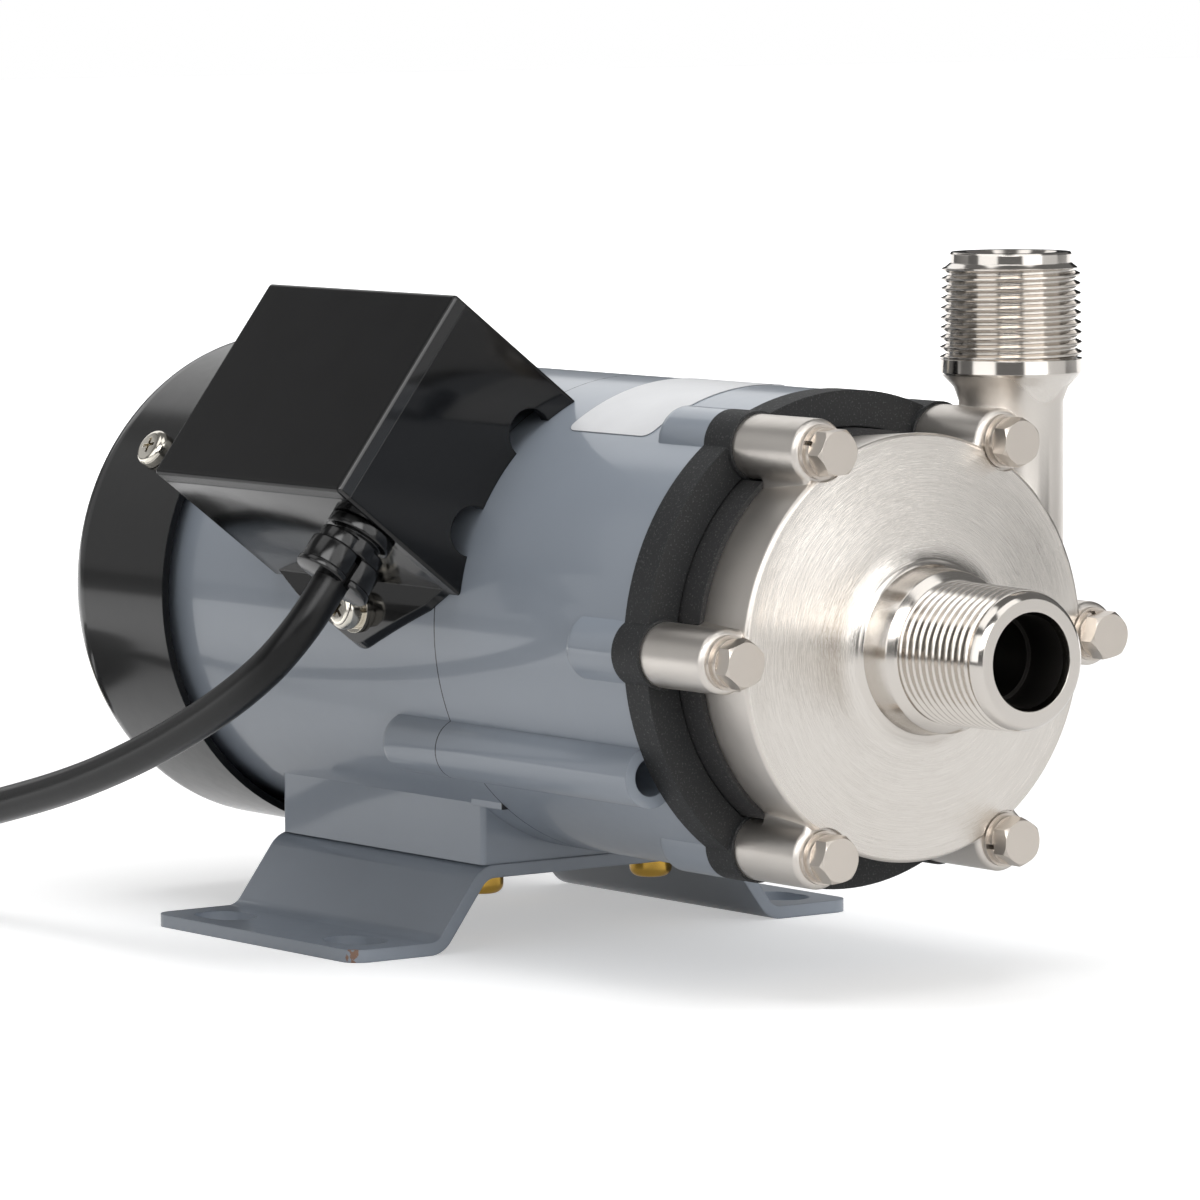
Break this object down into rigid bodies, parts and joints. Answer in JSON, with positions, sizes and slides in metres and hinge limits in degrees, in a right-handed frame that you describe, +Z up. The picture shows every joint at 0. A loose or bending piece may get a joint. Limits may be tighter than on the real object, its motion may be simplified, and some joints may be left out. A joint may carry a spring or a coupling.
{
  "type": "magnetic drive pump",
  "caption": "Centrifugal pump with a stainless head and two threaded nozzles, driven through a can by a small grey motor on a bent sheet foot.",
  "frame": {"origin": "on the floor, at the centre of the four slotted foot holes", "axes": "+Z up, +X along the shaft towards the inlet nozzle, +Y towards the side of the outlet"},
  "size_m": [0.4155, 0.1745, 0.1347],
  "materials": {
    "stainless": "cast and turned stainless steel",
    "bolt_steel": "plain stainless fasteners",
    "seal": "rubber",
    "casing_black": "filled plastic",
    "ceramic": "alumina ceramic",
    "impeller_plastic": "filled plastic",
    "magnet": "ferrite",
    "carbon": "carbon",
    "bracket_black": "fine textured filled plastic",
    "grey_paint": "die cast, gloss blue-grey paint",
    "plate_paint": "gloss blue-grey paint",
    "zinc_steel": "bright zinc",
    "nickel": "nickel plate",
    "yellow_zinc": "yellow zinc",
    "core_steel": "laminated steel",
    "copper": "varnished copper",
    "shaft_steel": "turned steel",
    "bearing_steel": "ground steel",
    "cast_aluminium": "cast",
    "fan_plastic": "moulded",
    "gloss_black": "gloss black paint",
    "box_black": "moulded, satin lid",
    "block_plastic": "moulded",
    "cord_black": "satin rubber",
    "brass_pins": "plated brass"
  },
  "bodies": {
    "pump_base": {"pump_head": "stainless", "head_o_ring": "seal", "head_bolts": "bolt_steel", "head_flat_washers": "bolt_steel", "head_spring_washers": "bolt_steel", "rear_casing": "casing_black", "spindle": "ceramic", "thrust_rings": "ceramic", "bracket": "bracket_black", "front_housing": "grey_paint", "rear_housing": "grey_paint", "tie_bolts": "zinc_steel", "stator_core": "core_steel", "stator_windings": "copper", "bearing_outer_rings": "bearing_steel", "bearing_balls": "bearing_steel", "wave_washer": "zinc_steel", "fan_cover": "gloss_black", "fan_cover_screws": "nickel", "terminal_box": "box_black", "terminal_box_lid": "box_black", "strain_relief": "cord_black", "box_screws": "nickel", "box_flat_washers": "nickel", "box_spring_washers": "nickel", "terminal_block": "block_plastic", "run_capacitor": "block_plastic", "foot_plate": "plate_paint", "foot_screws": "yellow_zinc", "foot_spring_washers": "yellow_zinc", "power_cord": "cord_black", "power_cord_coil": "cord_black", "cord_tie": "cord_black", "plug": "cord_black", "plug_pins": "brass_pins"},
    "motor_rotor": {"motor_shaft": "shaft_steel", "rotor_core": "core_steel", "rotor_end_rings": "cast_aluminium", "drive_magnet_hub": "shaft_steel", "hub_set_screw": "zinc_steel", "drive_magnets": "magnet", "bearing_inner_rings": "bearing_steel", "cooling_fan": "fan_plastic", "fan_clip": "zinc_steel"},
    "impeller_body": {"impeller": "impeller_plastic", "driven_magnet": "magnet", "impeller_bush": "carbon"}
  },
  "joints": [
    {"name": "motor_spin", "type": "hinge", "parent": "pump_base", "child": "motor_rotor", "pos_m": [0, 0, 0.0635], "axis": [1, 0, 0], "continuous": true},
    {"name": "impeller_spin", "type": "hinge", "parent": "pump_base", "child": "impeller_body", "pos_m": [0.1, 0, 0.0635], "axis": [1, 0, 0], "continuous": true}
  ],
  "couplings": [
    {"joint": "impeller_spin", "follows": "motor_spin", "ratio": 1}
  ]
}
